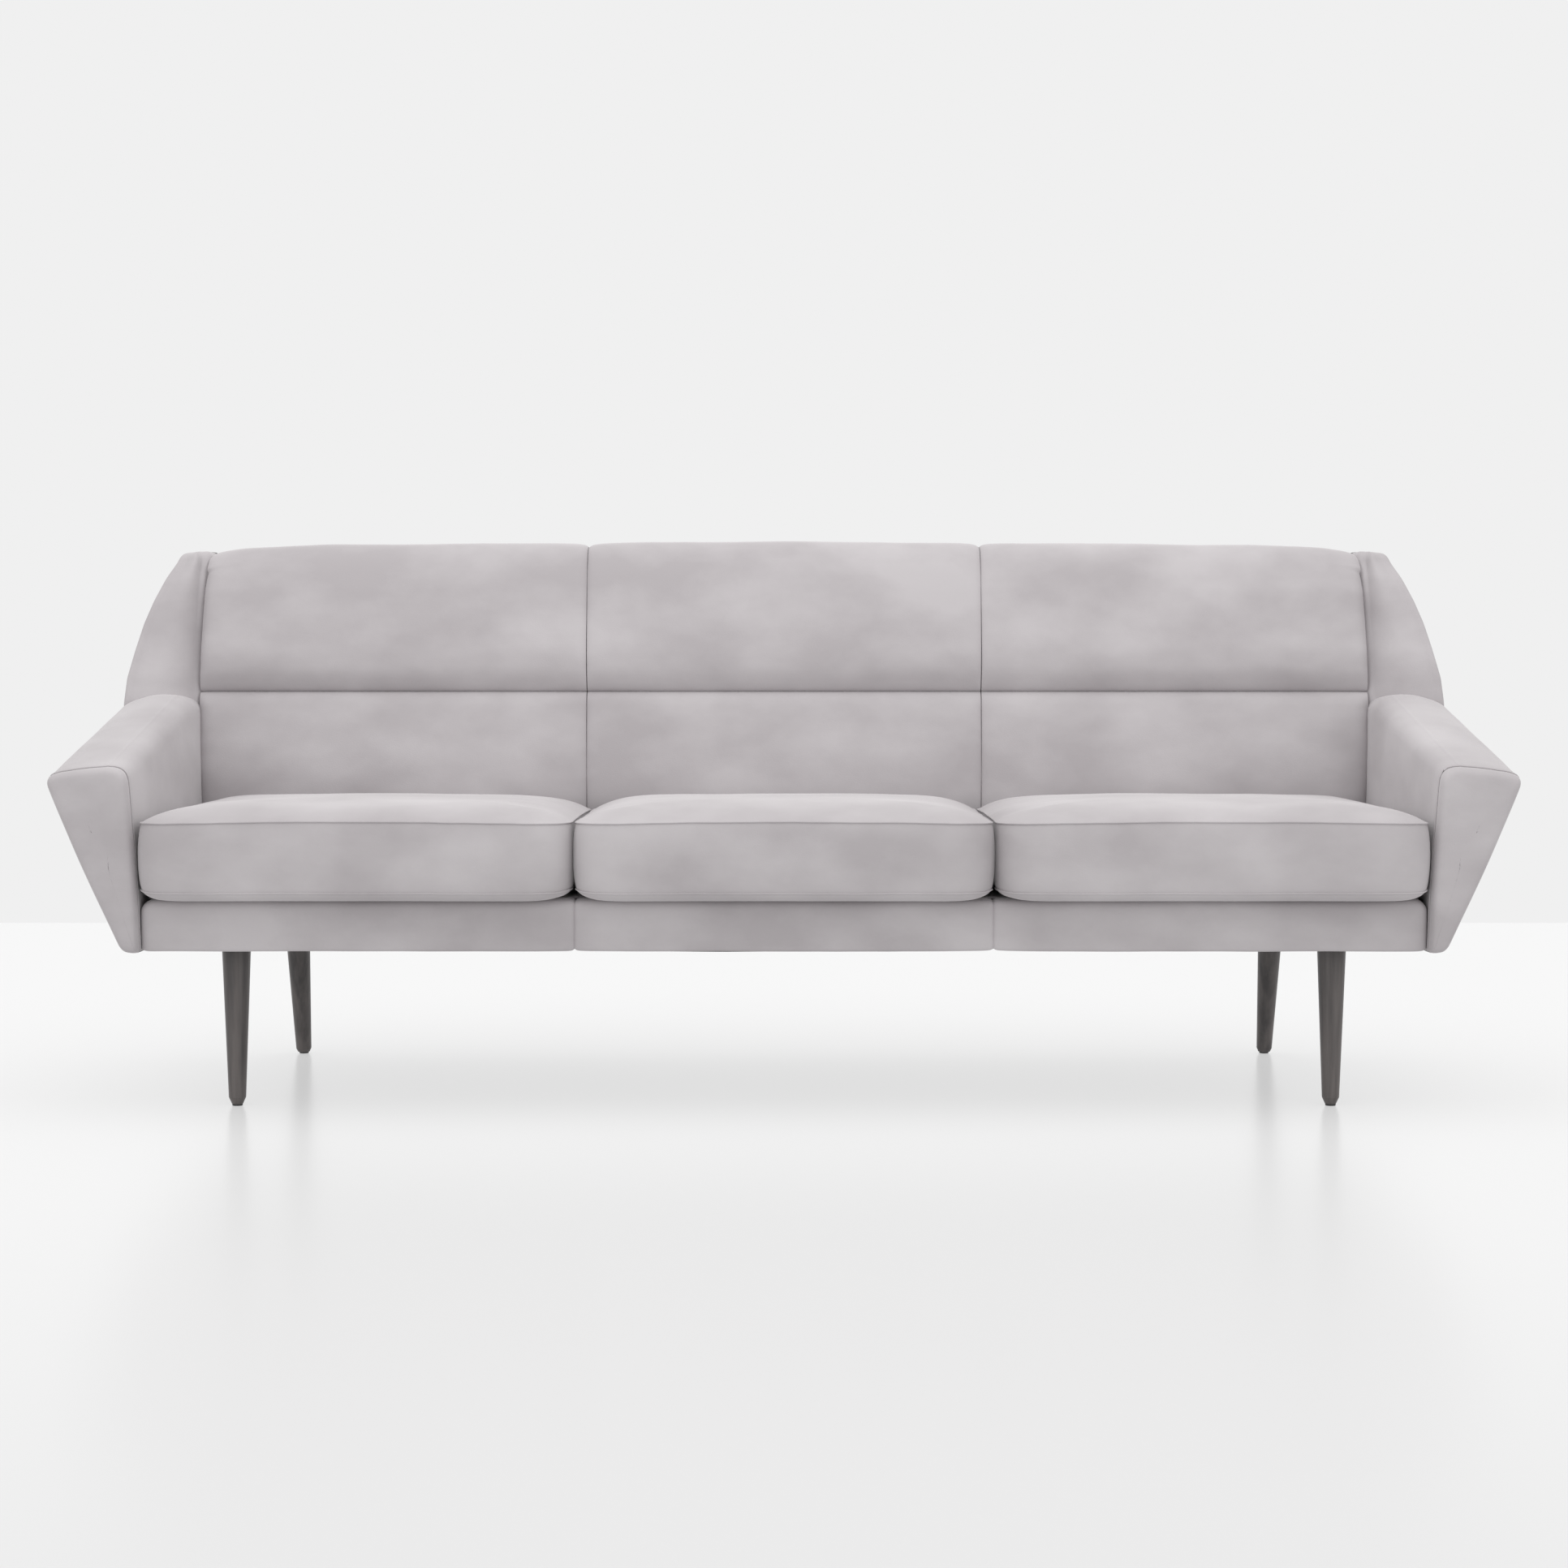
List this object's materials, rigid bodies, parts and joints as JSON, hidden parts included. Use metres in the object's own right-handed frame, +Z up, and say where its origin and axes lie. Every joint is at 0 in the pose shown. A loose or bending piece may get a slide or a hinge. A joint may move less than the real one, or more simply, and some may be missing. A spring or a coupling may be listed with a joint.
{
  "type": "sofa with wooden legs",
  "caption": "Low upholstered sofa with a seamed winged back, outward-leaning arms, loose boxed seat cushions and tapered turned wooden legs",
  "frame": {"origin": "on the floor under the middle of the sofa", "axes": "X across the sofa, the viewer's right positive; +Y to the rear; +Z up; the front faces -Y"},
  "size_m": [2.181, 0.7901, 0.882],
  "materials": {
    "velvet": "light warm-grey brushed velvet",
    "black_fabric": "black nonwoven base cloth",
    "foam": "cushion foam",
    "webbing": "elastic webbing",
    "leg_wood": "charcoal-stained turned wood, satin",
    "frame_wood": "plain sawn timber",
    "steel": "zinc plated steel",
    "black_plastic": "black plastic",
    "zip_tape": "grey zip",
    "zip_metal": "dull metal"
  },
  "bodies": {
    "sofa_frame": {"front_seat_rail": "frame_wood", "rear_seat_rail": "frame_wood", "seat_side_rails": "frame_wood", "seat_cross_rails": "frame_wood", "leg_planks": "frame_wood", "corner_blocks": "frame_wood", "leg_front_left": "leg_wood", "leg_front_right": "leg_wood", "leg_rear_left": "leg_wood", "leg_rear_right": "leg_wood", "leg_glides": "black_plastic", "leg_bolts": "steel", "tee_nuts": "steel", "seat_springs": "steel", "spring_clips": "steel", "seat_deck": "velvet", "dust_cover": "black_fabric", "back_posts": "frame_wood", "back_lumbar_rail": "frame_wood", "back_bottom_rail": "frame_wood", "back_top_rail": "frame_wood", "back_webbing": "webbing", "back_lower_pad_left": "velvet", "back_lower_pad_middle": "velvet", "back_lower_pad_right": "velvet", "back_upper_pad_left": "velvet", "back_upper_pad_middle": "velvet", "back_upper_pad_right": "velvet", "outside_back": "velvet", "front_border": "velvet", "arm_facing_left": "velvet", "arm_facing_right": "velvet", "arm_pad_left": "velvet", "arm_pad_right": "velvet", "side_outside_panel_left": "velvet", "side_outside_panel_right": "velvet", "arm_base_rails": "frame_wood", "arm_front_boards": "frame_wood", "arm_top_boards": "frame_wood", "arm_bolts": "steel", "arm_underliners": "black_fabric", "wing_pad_left": "velvet", "wing_pad_right": "velvet", "wing_outside_panel_left": "velvet", "wing_outside_panel_right": "velvet", "wing_boards": "frame_wood"},
    "seat_cushion_left": {"cushion_cover_left": "velvet", "cushion_core_left": "foam", "cushion_zip_left": "zip_tape"},
    "zip_puller_left": {"zip_slider_left": "zip_metal"},
    "seat_cushion_middle": {"cushion_cover_middle": "velvet", "cushion_core_middle": "foam", "cushion_zip_middle": "zip_tape"},
    "zip_puller_middle": {"zip_slider_middle": "zip_metal"},
    "seat_cushion_right": {"cushion_cover_right": "velvet", "cushion_core_right": "foam", "cushion_zip_right": "zip_tape"},
    "zip_puller_right": {"zip_slider_right": "zip_metal"}
  },
  "joints": [
    {"name": "cushion_lift_left", "type": "slide", "parent": "sofa_frame", "child": "seat_cushion_left", "axis": [0, 0, 1], "range_m": [0, 0.6]},
    {"name": "zip_slide_left", "type": "slide", "parent": "seat_cushion_left", "child": "zip_puller_left", "axis": [-1, 0, 0], "range_m": [0, 0.5]},
    {"name": "cushion_lift_middle", "type": "slide", "parent": "sofa_frame", "child": "seat_cushion_middle", "axis": [0, 0, 1], "range_m": [0, 0.6]},
    {"name": "zip_slide_middle", "type": "slide", "parent": "seat_cushion_middle", "child": "zip_puller_middle", "axis": [-1, 0, 0], "range_m": [0, 0.5]},
    {"name": "cushion_lift_right", "type": "slide", "parent": "sofa_frame", "child": "seat_cushion_right", "axis": [0, 0, 1], "range_m": [0, 0.6]},
    {"name": "zip_slide_right", "type": "slide", "parent": "seat_cushion_right", "child": "zip_puller_right", "axis": [-1, 0, 0], "range_m": [0, 0.5]}
  ]
}
